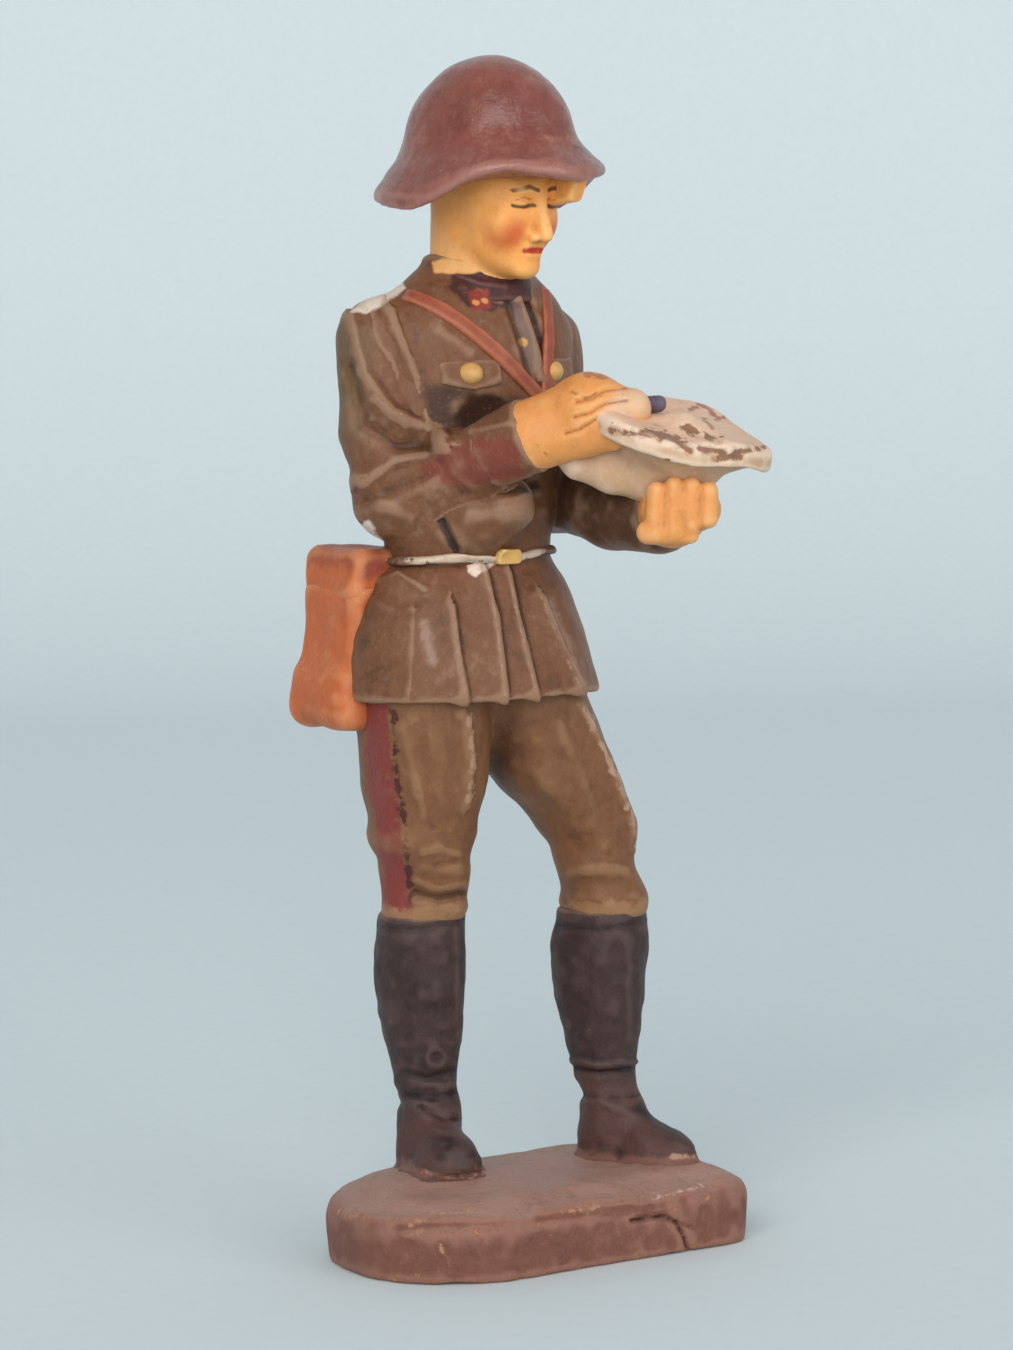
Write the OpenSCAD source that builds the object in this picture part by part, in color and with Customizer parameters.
// Pressed-composition toy soldier writing on a sheet, built over a wire armature
// Lengths in millimetres, +Z up, the figure faces -Y, origin under the middle of the base

/* [Base] */
// Length of the base from side to side
base_l = 26; // [22:0.5:34]
// Width of the base from front to back
base_w = 16; // [14:0.5:24]
// Height of the base at its rim
base_h = 4.1; // [3:0.1:6]
// Rise of the crown above the rim
base_crown_h = 0.7; // [0.3:0.1:1.5]
// Slope from the rim up to the crown
base_slope_w = 1.4; // [0.8:0.1:2.2]
// Worn edge round the rim
base_bevel = 0.4; // [0.2:0.1:0.8]
// Corner radius at the squarer end
base_square_r = 3; // [2.5:0.5:5]
// Corner radius at the rounder end
base_round_r = 7.4; // [4:0.2:7.8]

/* [Stance] */
// Sideways place of the right foot
right_foot_x = -5.1; // [-7:0.1:-4]
// Fore and aft place of the right foot
right_foot_y = 3.4; // [1:0.1:4]
// Sideways place of the left foot
left_foot_x = 7; // [5:0.1:8]
// Fore and aft place of the left foot
left_foot_y = 0.9; // [-1:0.1:3]
// Height of the mound under the right foot
mound_h = 0.5; // [0.3:0.1:1]
// Slope round the mound
mound_slope_w = 0.7; // [0.4:0.1:1]
// Outward turn of the right foot in degrees
right_toe_out = 6; // [0:1:35]
// Outward turn of the left foot in degrees
left_toe_out = 24; // [0:1:35]
// Sideways place of the trunk
trunk_x = -1.7; // [-3:0.1:0]
// Fore and aft place of the trunk
trunk_y = 2.4; // [1:0.1:3.5]

/* [Boots and breeches] */
// Height of a boot
boot_h = 16.2; // [12:0.1:20]
// Width of a boot at its top
boot_w = 5.7; // [4.5:0.1:7]
// Length of a foot
foot_l = 9.3; // [7:0.1:11]
// Height of the breeches that shows
breeches_h = 13.6; // [10:0.1:18]
// Width of a thigh
thigh_w = 8.2; // [6.5:0.1:10]
// Depth of a thigh from front to back
thigh_d = 9.4; // [7.5:0.1:11]
// Sideways distance between the hip centres
hip_span = 7.6; // [6:0.1:9]

/* [Tunic] */
// Height of the tunic skirt
skirt_h = 8.7; // [6:0.1:12]
// Width of the skirt at its hem
hem_w = 16.2; // [14:0.1:20]
// Depth of the skirt at its hem
hem_d = 12.4; // [10:0.1:16]
// Depth of a pleat at the hem
pleat_depth = 0.22; // [0.05:0.01:0.4]
// Width of the waist
waist_w = 11.2; // [9:0.1:13]
// Depth of the waist
waist_d = 8.8; // [7:0.1:11]
// Height of the trunk from waist to neck
torso_h = 17.6; // [15:0.1:22]
// Width of the chest
chest_w = 13; // [11:0.1:16]
// Depth of the chest
chest_d = 9.6; // [8:0.1:12]
// Sideways lean of the trunk from waist to neck
torso_lean = 0.8; // [0:0.1:1.5]
// Height of the stand collar
collar_h = 1.4; // [0.8:0.1:2.5]
// Outer width of the collar
collar_w = 6.4; // [5.8:0.1:7.5]

/* [Straps and trim] */
// Height of the belt
belt_h = 0.9; // [0.8:0.1:2]
// Thickness of the belt
belt_t = 0.45; // [0.3:0.05:0.8]
// Width of the buckle
buckle_w = 1.7; // [1:0.1:2.5]
// Height of the buckle
buckle_h = 0.8; // [0.6:0.1:1]
// Thickness of the buckle
buckle_t = 0.35; // [0.2:0.05:0.6]
// Width of the chest straps
strap_w = 1.1; // [0.7:0.1:1.6]
// Thickness of the chest straps
strap_t = 0.3; // [0.2:0.05:0.6]
// Width of a breast-pocket flap
flap_w = 3.6; // [2.5:0.1:4.5]
// Height of a breast-pocket flap
flap_h = 1.3; // [0.8:0.1:2]
// Thickness of a breast-pocket flap
flap_t = 0.25; // [0.15:0.05:0.5]
// Sideways distance of a pocket from the front line
pocket_reach = 3.1; // [2.5:0.1:4]
// Diameter of a button
button_d = 0.9; // [0.6:0.1:1.2]

/* [Arms] */
// Sideways distance between the shoulder centres
shoulder_span = 13.3; // [12:0.1:16]
// Turn of the shoulder line, left side back, in degrees
shoulder_turn = 5; // [0:1:12]
// How far the shoulders lie behind the trunk's middle
shoulder_back = 1.6; // [0.5:0.1:2.5]
// Diameter of the upper sleeve
sleeve_d = 5.6; // [4.8:0.1:6.5]
// Diameter of the forearm at the cuff
wrist_d = 4.6; // [3.8:0.1:5.4]
// Length of the upper arm from shoulder to elbow
upper_arm_l = 9.7; // [8:0.1:12]
// Length of the forearm from elbow to cuff
forearm_l = 8.4; // [6.5:0.1:10]
// Length of a cuff
cuff_l = 2.8; // [2:0.1:3.6]
// Forward swing of the right upper arm in degrees
right_swing = 9; // [0:1:20]
// Forward swing of the left upper arm in degrees
left_swing = 4; // [0:1:20]
// Compass heading of the right forearm in degrees
right_heading = -55; // [-70:1:-40]
// Rise of the right forearm in degrees
right_rise = 19; // [5:1:25]
// Compass heading of the left forearm in degrees
left_heading = -96; // [-105:1:-85]
// Rise of the left forearm in degrees
left_rise = -6; // [-12:1:5]

/* [Hands and writing] */
// Length of a hand
hand_l = 7; // [5:0.1:8]
// Width of a hand across the knuckles
hand_w = 4.2; // [3.2:0.1:5]
// Thickness of a hand
hand_t = 3.8; // [2.4:0.1:4.4]
// Compass heading of the right hand in degrees
right_hand_heading = -42; // [-55:1:-25]
// Rise of the right hand in degrees
right_hand_rise = 22; // [10:1:30]
// Compass heading of the left hand in degrees
left_hand_heading = -80; // [-95:1:-65]
// Rise of the left hand in degrees
left_hand_rise = 12; // [0:1:25]
// Width of the sheet
sheet_w = 11; // [9:0.1:14]
// Depth of the sheet
sheet_d = 8.2; // [6:0.1:10]
// Height of the sheet from its seat on the hand to its crest
sheet_h = 4.6; // [3:0.1:6]
// Diameter of the pencil
pencil_d = 1.1; // [0.8:0.1:1.4]
// Length of the pencil
pencil_l = 4.4; // [3.5:0.1:6]

/* [Head and helmet] */
// Height of the head from the chin to its top in the helmet
head_h = 6.7; // [5:0.1:8]
// Width of the head
head_w = 6.8; // [6:0.1:8]
// Length of the head from face to back
head_l = 8.2; // [7:0.1:9.5]
// Diameter of the neck
neck_d = 5; // [4:0.1:5.4]
// How far the head is carried forward
head_forward = 2; // [1:0.1:2.6]
// Turn of the head to its left in degrees
head_turn = 12; // [0:1:25]
// Height of the helmet from brim to crown
helmet_h = 8.3; // [7:0.1:11]
// Width of the helmet's brim
brim_w = 13.2; // [11:0.1:16]
// Length of the helmet's brim
brim_l = 15; // [12:0.1:18]
// Backward tilt of the helmet in degrees
helmet_tilt = 8; // [0:1:12]
// How deep the head sits in the helmet
helmet_depth = 1; // [0.8:0.1:2]

/* [Case] */
// Height of the leather case
case_h = 10.6; // [8:0.1:13]
// Width of the case along the hip
case_w = 7.2; // [5.5:0.1:9]
// Thickness of the case
case_t = 5.2; // [4:0.1:7]
// How far the case hangs behind the trunk's middle
case_back = 3.6; // [2.5:0.1:5]
// Height of the lid
lid_h = 2.6; // [1.5:0.1:4]
// How far the lid stands proud of the case
lid_proud = 0.2; // [0.1:0.05:0.4]

/* [Armature] */
// Diameter of the iron wire
wire_d = 1; // [0.6:0.1:1.4]
// Depth of a leg wire in the base
wire_seat = 3; // [2:0.1:4]
// Depth of a leg wire in the skirt
wire_hold = 4; // [2:0.1:6]
// Glue line between two pieces
glue_gap = 0.05; // [0.03:0.01:0.1]
// Clearance round a wire in its bore
wire_gap = 0.05; // [0.03:0.01:0.1]

/* [Hidden] */

// Sides of a modelled section and steps of a base corner
sides = 24;
corner_steps = 6;
pleat_count = 12;
$fn = 32;
// Overrun of every cut
overrun = 1;

// Levels from the ground up
foot_z = base_h + base_crown_h + glue_gap;
leg_z = foot_z + boot_h + glue_gap;
hem_z = leg_z + breeches_h + glue_gap;
waist_z = hem_z + skirt_h + glue_gap;
torso_top = waist_z + torso_h;
collar_z = torso_top + glue_gap;
shoulder_share = 0.8;
shoulder_z = waist_z + torso_h * shoulder_share;

// Places of the right foot and the hips
right_foot_z = foot_z + mound_h;
right_hip_x = trunk_x - hip_span / 2;
left_hip_x = trunk_x + hip_span / 2;

// Trunk middle at the shoulders and at the neck
chest_x = trunk_x + torso_lean;
shoulder_arm = shoulder_span / 2 * [cos(shoulder_turn), sin(shoulder_turn), 0];
right_shoulder = [chest_x, trunk_y + shoulder_back, shoulder_z] - shoulder_arm;
left_shoulder = [chest_x, trunk_y + shoulder_back, shoulder_z] + shoulder_arm;
right_elbow = right_shoulder + upper_arm_l * [0, -sin(right_swing), -cos(right_swing)];
left_elbow = left_shoulder + upper_arm_l * [0, -sin(left_swing), -cos(left_swing)];
right_way = way(right_heading, right_rise);
left_way = way(left_heading, left_rise);
right_wrist = right_elbow + (forearm_l + cuff_l + 2 * glue_gap) * right_way;
left_wrist = left_elbow + (forearm_l + cuff_l + 2 * glue_gap) * left_way;

// Head, chin and helmet
head_x = chest_x;
head_y = trunk_y - head_forward;
chin_z = torso_top + glue_gap;
helmet_z = chin_z + head_h - helmet_depth;

// Sheet on the left hand and pencil in the right hand
right_hand_way = way(right_hand_heading, right_hand_rise);
left_hand_way = way(left_hand_heading, left_hand_rise);
sheet_hold_share = 0.5;
sheet_place = left_wrist + hand_l * sheet_hold_share * left_hand_way;
sheet_z = sheet_place[2] + hand_t * sheet_hold_share / 2;
pencil_hold_share = 0.6;
pencil_place = right_wrist + hand_l * pencil_hold_share * right_hand_way;
pencil_pitch = -14;

// Sections of each modelled piece: level, width, depth, sideways and fore-aft shares
boot_shares = [[0, 0.62, 0.98, 0, -0.24], [0.05, 0.67, 1, 0, -0.24], [0.11, 0.65, 0.93, 0, -0.21],
    [0.17, 0.63, 0.78, 0, -0.14], [0.23, 0.63, 0.62, 0, -0.075], [0.3, 0.67, 0.53, 0, -0.03],
    [0.4, 0.74, 0.51, 0, 0], [0.55, 0.86, 0.58, 0, 0.01], [0.72, 0.97, 0.65, 0, 0.02],
    [0.88, 1, 0.66, 0, 0.01], [1, 1, 0.64, 0, 0]];
leg_shares = [[0, 0.67, 0.6, 0, 0], [0.06, 0.7, 0.63, 0, 0], [0.15, 0.71, 0.64, 0.02, -0.1],
    [0.27, 0.75, 0.68, 0.16, -0.2], [0.42, 0.83, 0.76, 0.34, 0], [0.62, 0.96, 0.88, 0.6, 0.4],
    [0.82, 1.04, 0.98, 0.85, 0.8], [1, 1, 1, 1, 1]];
skirt_shares = [[0, 0], [0.06, -0.02], [0.3, 0.22], [0.6, 0.56], [0.85, 0.85], [1, 0.97]];
torso_shares = [[0.28, 0.93, 0.95], [0.52, 1, 1], [0.72, 1.01, 1], [0.84, 0.98, 0.95],
    [0.92, 0.91, 0.87], [0.97, 0.76, 0.77], [1, 0.58, 0.68]];
sleeve_shares = [[0, 0.34], [0.04, 0.62], [0.1, 0.86], [0.2, 0.97], [0.35, 1], [0.6, 1], [0.8, 1.03],
    [0.9, 0.87], [0.96, 0.62], [1, 0.32]];
forearm_shares = [[0, 1], [0.3, 1.02], [0.7, 0.98], [1, 0.94]];
skull_shares = [[0, 0.42, 0.4, 0, -0.27], [0.1, 0.62, 0.6, 0, -0.2], [0.28, 0.84, 0.83, 0, -0.08],
    [0.5, 0.96, 0.95, 0, -0.02], [0.75, 1, 1, 0, 0], [1, 0.98, 0.98, 0, 0]];
helmet_shares = [[0, 0.98, 0.98], [0.05, 1, 1], [0.13, 0.94, 0.93], [0.22, 0.85, 0.81],
    [0.32, 0.78, 0.73], [0.55, 0.73, 0.68], [0.74, 0.63, 0.58], [0.88, 0.47, 0.42], [0.96, 0.28, 0.25],
    [1, 0.1, 0.09]];
hand_shares = [[0, 0.72, 0.86], [0.16, 0.84, 0.96], [0.45, 1, 1], [0.7, 0.94, 0.95], [0.88, 0.76, 0.78],
    [1, 0.48, 0.5]];
sheet_shares = [[0, 0.56, 0.62], [0.24, 0.84, 0.86], [0.42, 0.98, 0.98], [0.54, 1, 1], [0.68, 0.88, 0.86],
    [0.86, 0.62, 0.56], [1, 0.32, 0.26]];
case_shares = [[0, 0.74, 0.88, -0.04], [0.05, 0.96, 0.98, -0.04], [0.2, 1, 1, -0.02],
    [0.32, 0.96, 0.97, 0.02], [0.37, 0.84, 0.93, 0.04], [0.8, 0.78, 0.88, 0.18], [1, 0.74, 0.82, 0.26]];
collar_shares = [[0, 1, 1], [0.5, 0.97, 0.97], [1, 0.94, 0.94]];

// Direction of a compass heading and a rise
function way(heading, rise) = [cos(rise) * cos(heading), cos(rise) * sin(heading), sin(rise)];

// One level section: an oval, boxier as its power falls below one
function oval(x, y, z, half_w, half_d, power) = [for (i = [0:sides - 1])
    let (a = 360 * i / sides, c = cos(a), s = sin(a))
    [x + half_w * sign(c) * pow(abs(c), power), y + half_d * sign(s) * pow(abs(s), power), z]];

// Sections grown all round, and at both ends
function end_shift(i, last, grow) = i == 0 ? -grow : (i == last ? grow : 0);
function stack(w, d, h, slide_x, slide_y, shares, power, grow) = [for (i = [0:len(shares) - 1])
    let (s = shares[i])
    oval(slide_x * s[3], slide_y * s[4], h * s[0] + end_shift(i, len(shares) - 1, grow),
        w / 2 * s[1] + grow, d / 2 * s[2] + grow, power)];

// Closed skin over a list of sections
module skin(rings) {
    n = len(rings[0]);
    m = len(rings);
    low = [[for (i = [0:n - 1]) i]];
    high = [[for (i = [0:n - 1]) m * n - 1 - i]];
    walls = [for (j = [0:m - 2], i = [0:n - 1]) let (k = (i + 1) % n)
        each [[j * n + i, (j + 1) * n + i, (j + 1) * n + k], [j * n + i, (j + 1) * n + k, j * n + k]]];
    polyhedron([for (ring = rings) each ring], concat(low, high, walls), convexity = 6);
}

// Local +Z along a heading and a rise
module aim(place, heading, rise) {
    translate(place)
        rotate([0, 90 - rise, heading])
            children();
}

// Straight rod between two places
module rod(from, to, d) {
    reach = to - from;
    translate(from)
        rotate([0, acos(reach[2] / norm(reach)), atan2(reach[1], reach[0])])
            cylinder(h = norm(reach), d = d);
}

// Rods joined by a hammered knuckle at each bend
knuckle_share = 1.4;
module bent_wire(places, d) {
    for (i = [0:len(places) - 2])
        rod(places[i], places[i + 1], d);
    for (i = [1:len(places) - 2])
        translate(places[i])
            sphere(d = d * knuckle_share);
}

// Routes of the wires
function leg_route(foot_x, foot_y, rise, hip_x) = [[foot_x, foot_y, foot_z - wire_seat],
    [foot_x, foot_y, leg_z + rise], [hip_x, trunk_y, hem_z], [hip_x, trunk_y, hem_z + wire_hold]];
right_leg_route = leg_route(right_foot_x, right_foot_y, mound_h, right_hip_x);
left_leg_route = leg_route(left_foot_x, left_foot_y, 0, left_hip_x);
spine_hold_share = 0.6;
spine_route = [[trunk_x, trunk_y, waist_z - wire_hold / 2], [chest_x, trunk_y, shoulder_z],
    [chest_x, trunk_y, torso_top], [head_x, head_y, chin_z + head_h * spine_hold_share]];
arm_hold_share = 0.3;
function arm_route(shoulder, elbow, wrist, hand_way) = [
    [shoulder[0] + (chest_x - shoulder[0]) * arm_hold_share, shoulder[1], shoulder[2]], shoulder,
    elbow, wrist, wrist + hand_l * arm_hold_share * hand_way];
right_arm_route = arm_route(right_shoulder, right_elbow, right_wrist, right_hand_way);
left_arm_route = arm_route(left_shoulder, left_elbow, left_wrist, left_hand_way);

module bore(route) {
    bent_wire(route, wire_d + 2 * wire_gap);
}

// Plain forms that neighbours share
function corner(x, y, r, from) = [for (i = [0:corner_steps])
    let (a = from + 90 * i / corner_steps) [x + r * cos(a), y + r * sin(a)]];
base_end_share = 0.47;
base_end_r = min(base_round_r, base_w * base_end_share);
function slab(inset, z) = let (x = base_l / 2 - inset, y = base_w / 2 - inset,
        a = base_square_r - inset, b = base_end_r - inset)
    [for (p = concat(corner(x - a, -y + a, a, -90), corner(x - a, y - a, a, 0),
        corner(-x + b, y - b, b, 90), corner(-x + b, -y + b, b, 180))) [p[0], p[1], z]];

module boot_form(foot_x, foot_y, z, turn) {
    translate([foot_x, foot_y, z])
        rotate([0, 0, turn])
            skin(stack(boot_w, foot_l, boot_h, boot_w, foot_l, boot_shares, 1, 0));
}

// Mound under the right foot, wider than the sole all round
mound_shares = [[-1, 2], [0, 2], [1, 1]];
sole = boot_shares[0];
module mound_form() {
    translate([right_foot_x, right_foot_y, foot_z - glue_gap])
        rotate([0, 0, -right_toe_out])
            skin([for (s = mound_shares)
                oval(0, foot_l * sole[4], mound_h * s[0], boot_w / 2 * sole[1] + mound_slope_w * s[1],
                    foot_l / 2 * sole[2] + mound_slope_w * s[1], 1)]);
}

module leg_form(foot_x, foot_y, rise, hip_x, grow) {
    translate([foot_x, foot_y, leg_z + rise])
        skin(stack(thigh_w, thigh_d, breeches_h - rise, hip_x - foot_x, trunk_y - foot_y, leg_shares,
            1, grow));
}

// Skirt sections run from the hem to the waist, with pleats that fade upwards
function skirt_ring(level, blend, grow) = [for (i = [0:2 * sides - 1])
    let (a = 180 * i / sides, fold = pleat_depth * (1 - level) * cos(a * pleat_count),
        half_w = (hem_w + (waist_w - hem_w) * blend) / 2 + grow + fold,
        half_d = (hem_d + (waist_d - hem_d) * blend) / 2 + grow + fold)
    [half_w * cos(a), half_d * sin(a), skirt_h * level]];
module skirt_form(grow) {
    last = len(skirt_shares) - 1;
    translate([trunk_x, trunk_y, hem_z])
        skin([for (i = [0:last]) let (s = skirt_shares[i])
            [for (p = skirt_ring(s[0], s[1], grow)) p + [0, 0, end_shift(i, last, grow)]]]);
}

waist_shares = [[0, 1, 1], [(belt_h + belt_t) / torso_h, 1, 1]];
function torso_rings(grow) = concat(
    [for (i = [0:1]) oval(0, 0, torso_h * waist_shares[i][0] - (i == 0 ? grow : 0),
        waist_w / 2 + grow, waist_d / 2 + grow, 1)],
    [for (i = [0:len(torso_shares) - 1]) let (s = torso_shares[i])
        oval(torso_lean * s[0], 0, torso_h * s[0] + end_shift(i + 1, len(torso_shares), grow),
            chest_w / 2 * s[1] + grow, chest_d / 2 * s[2] + grow, 1)]);
module torso_form(grow) {
    translate([trunk_x, trunk_y, waist_z])
        skin(torso_rings(grow));
}

module belt_form(grow) {
    translate([trunk_x, trunk_y, waist_z - grow])
        linear_extrude(belt_h + 2 * grow)
            polygon([for (p = oval(0, 0, 0, waist_w / 2 + belt_t + glue_gap + grow,
                waist_d / 2 + belt_t + glue_gap + grow, 1)) [p[0], p[1]]]);
}

module collar_form(grow) {
    translate([chest_x, trunk_y, collar_z])
        skin(stack(collar_w, collar_w, collar_h, 0, 0, [for (s = collar_shares) [s[0], s[1], s[2], 0, 0]],
            1, grow));
}

module neck_form(grow) {
    translate([chest_x, trunk_y, collar_z - grow])
        cylinder(h = collar_h + head_h * spine_hold_share, d = neck_d + 2 * grow);
}

module skull_form(grow) {
    translate([head_x, head_y, chin_z])
        rotate([0, 0, head_turn])
            skin(stack(head_w, head_l, head_h, head_w, head_l, skull_shares, 1, grow));
}

sleeve_run = upper_arm_l + sleeve_d;
module arm_form(elbow, swing, heading, rise) {
    translate(elbow)
        rotate([-swing, 0, 0])
            translate([0, 0, -sleeve_d / 2])
                skin(stack(sleeve_d, sleeve_d, sleeve_run, 0, 0,
                    [for (s = sleeve_shares) [s[0], s[1], s[1], 0, 0]], 1, 0));
    aim(elbow, heading, rise)
        skin([for (s = forearm_shares) oval(0, 0, forearm_l * s[0],
            (sleeve_d + (wrist_d - sleeve_d) * s[0]) / 2 * s[1],
            (sleeve_d + (wrist_d - sleeve_d) * s[0]) / 2 * s[1], 1)]);
}

module cuff_form(elbow, heading, rise) {
    aim(elbow + (forearm_l + glue_gap) * way(heading, rise), heading, rise)
        cylinder(h = cuff_l, d = wrist_d);
}

module hand_form(wrist, heading, rise, grow) {
    aim(wrist + glue_gap * way(heading, rise), heading, rise)
        skin(stack(hand_t, hand_w, hand_l, 0, 0, [for (s = hand_shares) [s[0], s[1], s[2], 0, 0]], 1, grow));
}

sheet_power = 0.5;
module sheet_form(grow) {
    translate([sheet_place[0], sheet_place[1], sheet_z + glue_gap])
        skin(stack(sheet_w, sheet_d, sheet_h, 0, 0, [for (s = sheet_shares) [s[0], s[1], s[2], 0, 0]],
            sheet_power, grow));
}

pencil_back_share = 0.35;
module pencil_form(grow) {
    aim(pencil_place - pencil_l * pencil_back_share * way(right_hand_heading, pencil_pitch),
        right_hand_heading, pencil_pitch)
        translate([0, 0, -grow])
            cylinder(h = pencil_l + 2 * grow, d = pencil_d + 2 * grow);
}

// Case hangs against the right side of the skirt, its top level with the belt
case_power = 0.5;
case_x = trunk_x - (hem_w + waist_w) / 4;
case_z = waist_z + belt_h - case_h;
module case_form(grow) {
    translate([case_x, trunk_y + case_back, case_z])
        skin(stack(case_t, case_w, case_h, case_t, 0,
            [for (s = case_shares) [s[0], s[1], s[2], s[3], 0]], case_power, grow));
}

module above(z) {
    translate([-base_l, -base_l, z])
        cube([2 * base_l, 2 * base_l, 2 * case_h]);
}

// Shell of the trunk between two skins, for what lies on the tunic
module tunic_shell(t) {
    difference() {
        torso_form(glue_gap + t);
        torso_form(glue_gap);
    }
}

// Slab that cuts a strap out of the shell, seen from the front
strap_meet_share = 0.6;
strap_top_share = 0.965;
right_strap_share = 0.66;
left_strap_share = 0.74;
meet = [chest_x + chest_w / 2 * (1 - left_strap_share), waist_z + torso_h * strap_meet_share];
module strap_slab(top_x) {
    top = [top_x, waist_z + torso_h * strap_top_share];
    run = top - meet;
    translate([meet[0], trunk_y - chest_d, meet[1]])
        rotate([0, atan2(run[0], run[1]), 0])
            translate([-strap_w / 2, 0, 0])
                cube([strap_w, chest_d, norm(run)]);
}

flap_share = 0.72;
flap_z = waist_z + torso_h * flap_share - flap_h;
module flap_slab(x) {
    translate([x - flap_w / 2, trunk_y - chest_d, flap_z])
        cube([flap_w, chest_d, flap_h]);
}

// Front of the trunk at a sideways place, for the buttons
function front_y(x) = trunk_y - chest_d / 2 * sqrt(1 - pow((x - chest_x) / (chest_w / 2), 2));
module button(x, z, lift) {
    translate([x, front_y(x) - lift, z])
        sphere(d = button_d);
}

// Sub-parts
module base() {
    color([0.47, 0.29, 0.25])
        difference() {
            union() {
                skin([slab(base_bevel, 0), slab(0, base_bevel), slab(0, base_h - base_bevel),
                    slab(base_bevel, base_h), slab(base_slope_w, base_h + base_crown_h)]);
                mound_form();
            }
            bore(right_leg_route);
            bore(left_leg_route);
        }
}

module right_boot() {
    color([0.27, 0.2, 0.2])
        difference() {
            boot_form(right_foot_x, right_foot_y, right_foot_z, -right_toe_out);
            bore(right_leg_route);
        }
}

module left_boot() {
    color([0.27, 0.2, 0.2])
        difference() {
            boot_form(left_foot_x, left_foot_y, foot_z, left_toe_out);
            bore(left_leg_route);
        }
}

// The two legs meet in a plane under the middle of the trunk
module right_breeches() {
    color([0.42, 0.31, 0.23])
        difference() {
            leg_form(right_foot_x, right_foot_y, mound_h, right_hip_x, 0);
            translate([trunk_x - glue_gap / 2, trunk_y - thigh_d, leg_z - overrun])
                cube([thigh_w, 2 * thigh_d, breeches_h + 2 * overrun]);
            bore(right_leg_route);
        }
}

module left_breeches() {
    color([0.42, 0.31, 0.23])
        difference() {
            leg_form(left_foot_x, left_foot_y, 0, left_hip_x, 0);
            translate([trunk_x + glue_gap / 2 - thigh_w, trunk_y - thigh_d, leg_z - overrun])
                cube([thigh_w, 2 * thigh_d, breeches_h + 2 * overrun]);
            bore(left_leg_route);
        }
}

module tunic_skirt() {
    color([0.4, 0.3, 0.25])
        difference() {
            skirt_form(0);
            bore(right_leg_route);
            bore(left_leg_route);
            bore(spine_route);
        }
}

module tunic_body() {
    color([0.4, 0.31, 0.25])
        difference() {
            torso_form(0);
            bore(spine_route);
            bore(right_arm_route);
            bore(left_arm_route);
        }
}

module collar() {
    color([0.33, 0.16, 0.15])
        difference() {
            collar_form(0);
            neck_form(glue_gap);
            bore(spine_route);
        }
}

module head() {
    color([0.85, 0.6, 0.36])
        difference() {
            union() {
                skull_form(0);
                neck_form(0);
            }
            difference() {
                collar_form(glue_gap);
                neck_form(glue_gap);
            }
            bore(spine_route);
        }
}

module helmet() {
    color([0.47, 0.27, 0.25])
        difference() {
            translate([head_x, head_y, helmet_z])
                rotate([0, 0, head_turn])
                    rotate([-helmet_tilt, 0, 0])
                        skin(stack(brim_w, brim_l, helmet_h, 0, 0,
                            [for (s = helmet_shares) [s[0], s[1], s[2], 0, 0]], 1, 0));
            skull_form(glue_gap);
        }
}

module right_sleeve() {
    color([0.4, 0.32, 0.25])
        difference() {
            arm_form(right_elbow, right_swing, right_heading, right_rise);
            torso_form(glue_gap);
            bore(right_arm_route);
        }
}

module left_sleeve() {
    color([0.36, 0.28, 0.23])
        difference() {
            arm_form(left_elbow, left_swing, left_heading, left_rise);
            torso_form(glue_gap);
            bore(left_arm_route);
        }
}

module right_cuff() {
    color([0.4, 0.22, 0.2])
        difference() {
            cuff_form(right_elbow, right_heading, right_rise);
            torso_form(glue_gap);
            bore(right_arm_route);
        }
}

module left_cuff() {
    color([0.36, 0.28, 0.23])
        difference() {
            cuff_form(left_elbow, left_heading, left_rise);
            bore(left_arm_route);
        }
}

module right_hand() {
    color([0.95, 0.7, 0.42])
        difference() {
            hand_form(right_wrist, right_hand_heading, right_hand_rise, 0);
            cuff_form(right_elbow, right_heading, right_rise);
            sheet_form(glue_gap);
            pencil_form(glue_gap);
            bore(right_arm_route);
        }
}

module left_hand() {
    color([0.95, 0.7, 0.42])
        difference() {
            hand_form(left_wrist, left_hand_heading, left_hand_rise, 0);
            cuff_form(left_elbow, left_heading, left_rise);
            bore(left_arm_route);
        }
}

module pencil() {
    color([0.3, 0.26, 0.32])
        pencil_form(0);
}

module map_sheet() {
    color([0.8, 0.74, 0.68])
        difference() {
            sheet_form(0);
            hand_form(left_wrist, left_hand_heading, left_hand_rise, glue_gap);
            pencil_form(glue_gap);
        }
}

module case_body() {
    color([0.75, 0.42, 0.25])
        difference() {
            case_form(0);
            above(case_z + case_h - lid_h - glue_gap);
            skirt_form(glue_gap);
            belt_form(glue_gap);
            leg_form(right_foot_x, right_foot_y, mound_h, right_hip_x, glue_gap);
        }
}

module case_lid() {
    color([0.6, 0.3, 0.22])
        difference() {
            intersection() {
                case_form(lid_proud);
                above(case_z + case_h - lid_h);
            }
            skirt_form(glue_gap);
            belt_form(glue_gap);
            arm_form(right_elbow, right_swing, right_heading, right_rise);
        }
}

module belt() {
    color([0.88, 0.8, 0.74])
        difference() {
            belt_form(0);
            torso_form(glue_gap);
        }
}

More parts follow.
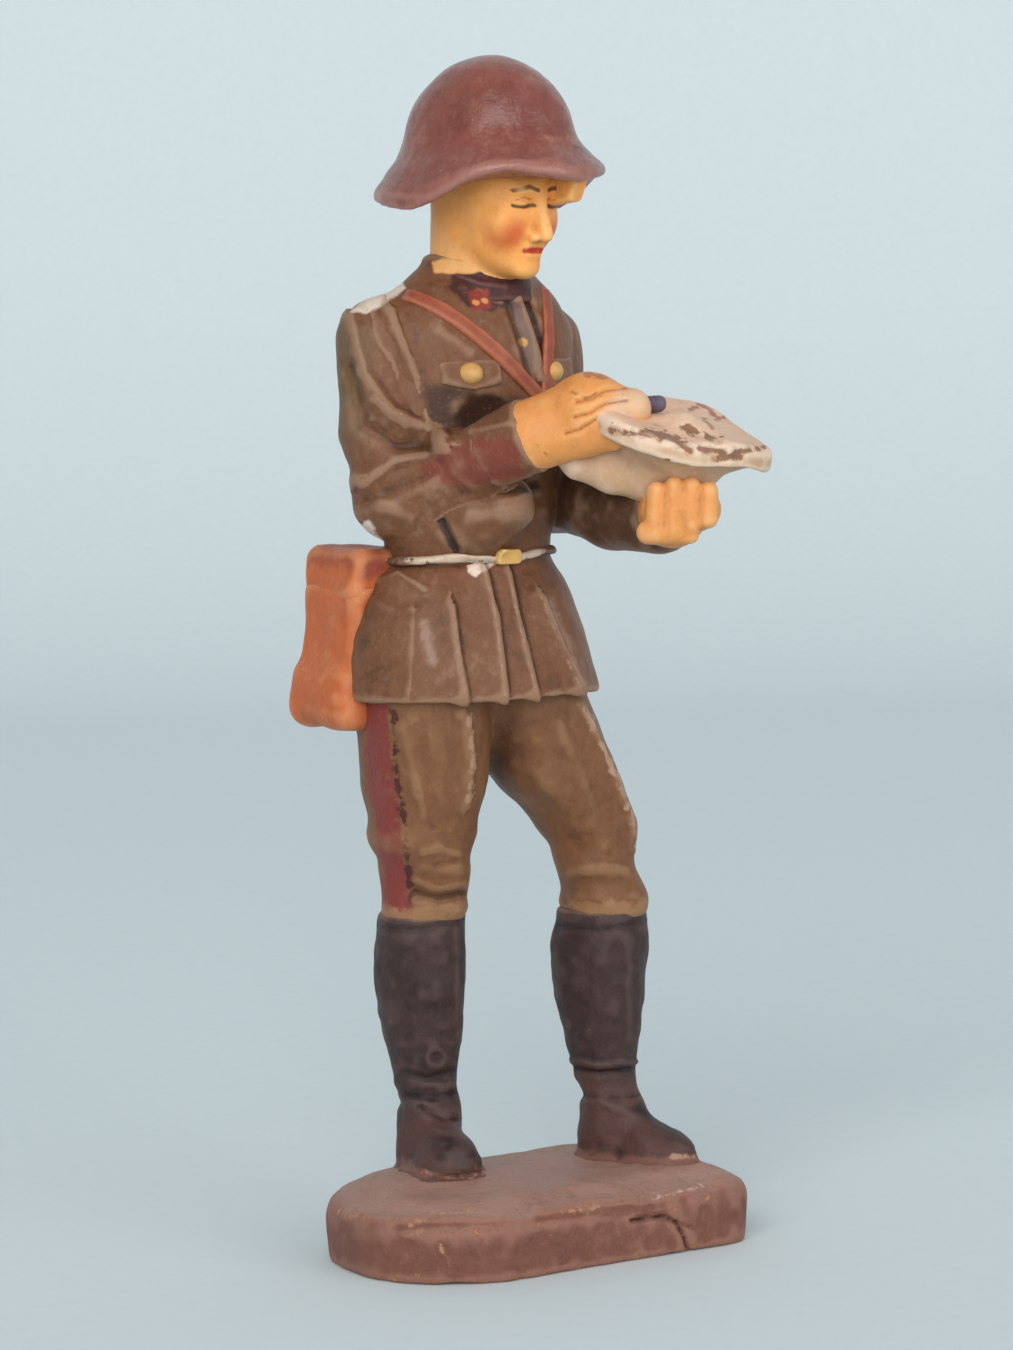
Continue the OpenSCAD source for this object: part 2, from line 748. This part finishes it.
module buckle() {
    color([0.9, 0.72, 0.4])
        difference() {
            translate([trunk_x - buckle_w / 2, trunk_y - waist_d / 2 - belt_t - buckle_t,
                waist_z + (belt_h - buckle_h) / 2])
                cube([buckle_w, belt_t, buckle_h]);
            belt_form(glue_gap);
        }
}

module right_strap() {
    color([0.6, 0.32, 0.24])
        intersection() {
            tunic_shell(strap_t);
            strap_slab(chest_x - chest_w / 2 * right_strap_share);
        }
}

module left_strap() {
    color([0.6, 0.32, 0.24])
        difference() {
            intersection() {
                tunic_shell(strap_t);
                strap_slab(chest_x + chest_w / 2 * left_strap_share);
            }
            strap_slab(chest_x - chest_w / 2 * right_strap_share);
        }
}

module pocket_flaps() {
    color([0.43, 0.34, 0.28])
        difference() {
            intersection() {
                tunic_shell(flap_t);
                union() {
                    flap_slab(chest_x - pocket_reach);
                    flap_slab(chest_x + pocket_reach);
                }
            }
            strap_slab(chest_x - chest_w / 2 * right_strap_share);
            strap_slab(chest_x + chest_w / 2 * left_strap_share);
        }
}

module tunic_buttons() {
    color([0.85, 0.65, 0.35])
        difference() {
            union() {
                button(chest_x - pocket_reach, flap_z + button_d / 2, flap_t);
                button(chest_x + pocket_reach, flap_z + button_d / 2, flap_t);
            }
            torso_form(glue_gap + flap_t + glue_gap);
        }
}

module right_leg_wire() {
    color([0.35, 0.33, 0.32])
        bent_wire(right_leg_route, wire_d);
}

module left_leg_wire() {
    color([0.35, 0.33, 0.32])
        bent_wire(left_leg_route, wire_d);
}

module spine_wire() {
    color([0.35, 0.33, 0.32])
        bent_wire(spine_route, wire_d);
}

module right_arm_wire() {
    color([0.35, 0.33, 0.32])
        bent_wire(right_arm_route, wire_d);
}

module left_arm_wire() {
    color([0.35, 0.33, 0.32])
        bent_wire(left_arm_route, wire_d);
}

base();
right_boot();
left_boot();
right_breeches();
left_breeches();
tunic_skirt();
tunic_body();
collar();
head();
helmet();
right_sleeve();
left_sleeve();
right_cuff();
left_cuff();
right_hand();
left_hand();
pencil();
map_sheet();
case_body();
case_lid();
belt();
buckle();
right_strap();
left_strap();
pocket_flaps();
tunic_buttons();
right_leg_wire();
left_leg_wire();
spine_wire();
right_arm_wire();
left_arm_wire();
